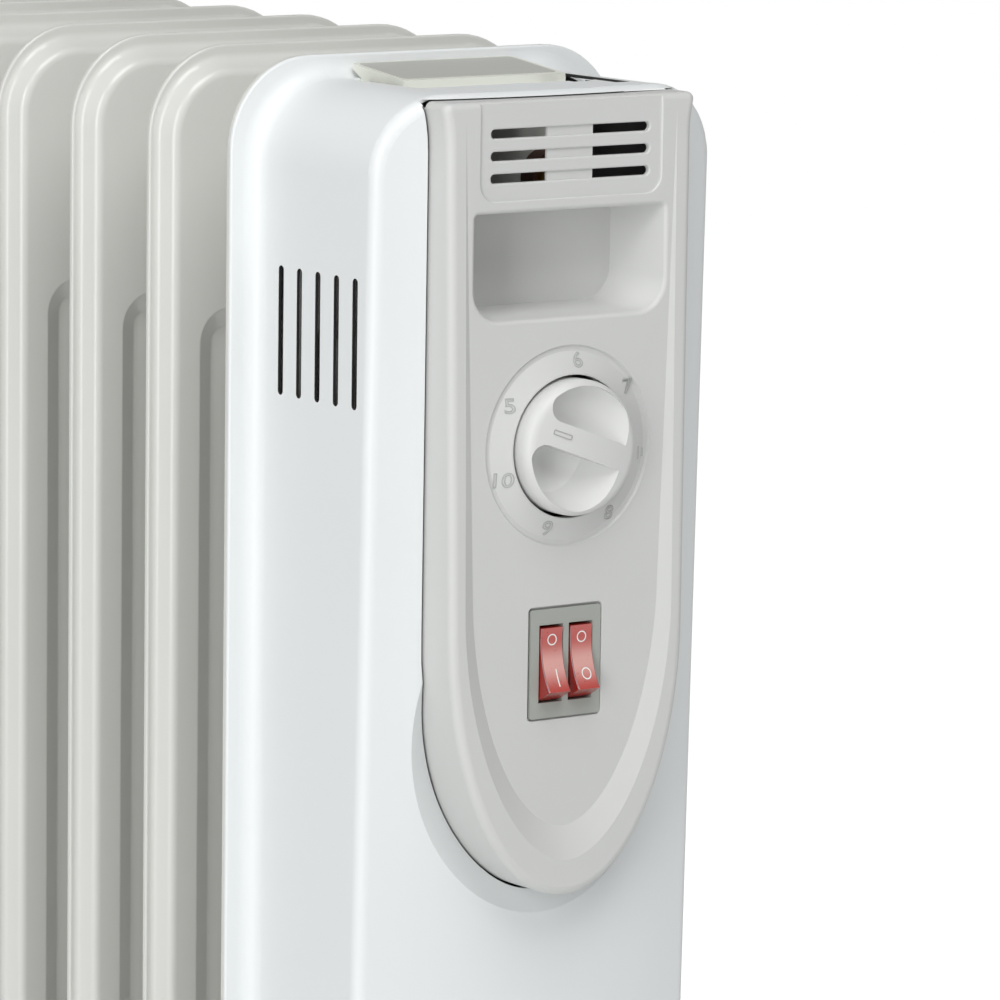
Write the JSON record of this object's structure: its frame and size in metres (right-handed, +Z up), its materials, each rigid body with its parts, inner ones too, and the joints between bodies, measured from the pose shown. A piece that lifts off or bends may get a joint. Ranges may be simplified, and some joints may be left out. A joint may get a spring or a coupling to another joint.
{
  "type": "oil filled radiator heater",
  "caption": "Oil filled radiator heater: a row of pressed steel fins, a box cover with air slots, a grey control panel with grip pocket, thermostat knob and rocker switches, on castors.",
  "frame": {"origin": "on the floor, under the middle of the heater's bounding box", "axes": "+Z up, -Y out of the control panel, +Y along the row of fins to the back, +X to the right of a person facing the panel"},
  "size_m": [0.25, 0.4262, 0.635],
  "materials": {
    "white_steel": "gloss white enamel",
    "fin_steel": "satin warm white enamel",
    "grey_plastic": "fine satin moulding",
    "knob_plastic": "satin moulding",
    "cream_plastic": "satin moulding",
    "bezel_plastic": "fine matt moulding",
    "red_rocker": "translucent red",
    "zinc_steel": "zinc plated",
    "bracket_steel": "satin white enamel",
    "brass": "bare brass",
    "phenolic": "brown moulding",
    "black_plastic": "matt black moulding",
    "element_steel": "stainless sheath",
    "block_plastic": "natural nylon"
  },
  "bodies": {
    "radiator": {"block_screws": "zinc_steel", "castor_stems": "zinc_steel", "control_panel": "grey_plastic", "control_plate": "zinc_steel", "cord_bush": "black_plastic", "cover_clips": "zinc_steel", "cutout_terminals": "brass", "element_flange": "zinc_steel", "element_terminals": "brass", "fill_plug": "zinc_steel", "fin_01": "fin_steel", "fin_02": "fin_steel", "fin_03": "fin_steel", "fin_04": "fin_steel", "fin_05": "fin_steel", "fin_06": "fin_steel", "fin_07": "fin_steel", "fin_08": "fin_steel", "fin_09": "fin_steel", "front_cover": "white_steel", "front_foot_bracket": "bracket_steel", "heating_element": "element_steel", "plate_screws": "zinc_steel", "rear_foot_bracket": "bracket_steel", "switch_housing": "bezel_plastic", "switch_terminals": "brass", "terminal_block": "block_plastic", "thermal_cutout": "phenolic", "thermostat_body": "phenolic", "thermostat_nut": "zinc_steel", "thermostat_terminals": "brass", "tip_over_switch": "black_plastic", "top_label_plate": "cream_plastic", "u_bolts": "zinc_steel", "wing_nuts": "zinc_steel"},
    "dial": {"thermostat_knob": "knob_plastic", "thermostat_shaft": "zinc_steel"},
    "rocker_left_key": {"rocker_left": "red_rocker"},
    "rocker_right_key": {"rocker_right": "red_rocker"},
    "castor_1_swivel": {"castor_housing_1": "black_plastic"},
    "castor_1_wheel_set": {"castor_wheels_1": "black_plastic", "castor_axle_1": "zinc_steel"},
    "castor_2_swivel": {"castor_housing_2": "black_plastic"},
    "castor_2_wheel_set": {"castor_wheels_2": "black_plastic", "castor_axle_2": "zinc_steel"},
    "castor_3_swivel": {"castor_housing_3": "black_plastic"},
    "castor_3_wheel_set": {"castor_wheels_3": "black_plastic", "castor_axle_3": "zinc_steel"},
    "castor_4_swivel": {"castor_housing_4": "black_plastic"},
    "castor_4_wheel_set": {"castor_wheels_4": "black_plastic", "castor_axle_4": "zinc_steel"}
  },
  "joints": [
    {"name": "thermostat_turn", "type": "hinge", "parent": "radiator", "child": "dial", "pos_m": [0, -0.204, 0.53], "axis": [0, 1, 0], "range_deg": [0, 320]},
    {"name": "rocker_left_tilt", "type": "hinge", "parent": "radiator", "child": "rocker_left_key", "pos_m": [-0.0051, -0.201, 0.4691], "axis": [1, 0, 0], "range_deg": [0, 26]},
    {"name": "rocker_right_tilt", "type": "hinge", "parent": "radiator", "child": "rocker_right_key", "pos_m": [0.0051, -0.201, 0.4691], "axis": [1, 0, 0], "range_deg": [0, 26]},
    {"name": "castor_1_swivel_turn", "type": "hinge", "parent": "radiator", "child": "castor_1_swivel", "pos_m": [-0.108, -0.1126, 0.055], "axis": [0, 0, 1], "continuous": true},
    {"name": "castor_1_wheel_spin", "type": "hinge", "parent": "castor_1_swivel", "child": "castor_1_wheel_set", "pos_m": [-0.108, -0.0976, 0.021], "axis": [1, 0, 0], "continuous": true},
    {"name": "castor_2_swivel_turn", "type": "hinge", "parent": "radiator", "child": "castor_2_swivel", "pos_m": [0.108, -0.1126, 0.055], "axis": [0, 0, 1], "continuous": true},
    {"name": "castor_2_wheel_spin", "type": "hinge", "parent": "castor_2_swivel", "child": "castor_2_wheel_set", "pos_m": [0.108, -0.0976, 0.021], "axis": [1, 0, 0], "continuous": true},
    {"name": "castor_3_swivel_turn", "type": "hinge", "parent": "radiator", "child": "castor_3_swivel", "pos_m": [-0.108, 0.1744, 0.055], "axis": [0, 0, 1], "continuous": true},
    {"name": "castor_3_wheel_spin", "type": "hinge", "parent": "castor_3_swivel", "child": "castor_3_wheel_set", "pos_m": [-0.108, 0.1894, 0.021], "axis": [1, 0, 0], "continuous": true},
    {"name": "castor_4_swivel_turn", "type": "hinge", "parent": "radiator", "child": "castor_4_swivel", "pos_m": [0.108, 0.1744, 0.055], "axis": [0, 0, 1], "continuous": true},
    {"name": "castor_4_wheel_spin", "type": "hinge", "parent": "castor_4_swivel", "child": "castor_4_wheel_set", "pos_m": [0.108, 0.1894, 0.021], "axis": [1, 0, 0], "continuous": true}
  ]
}
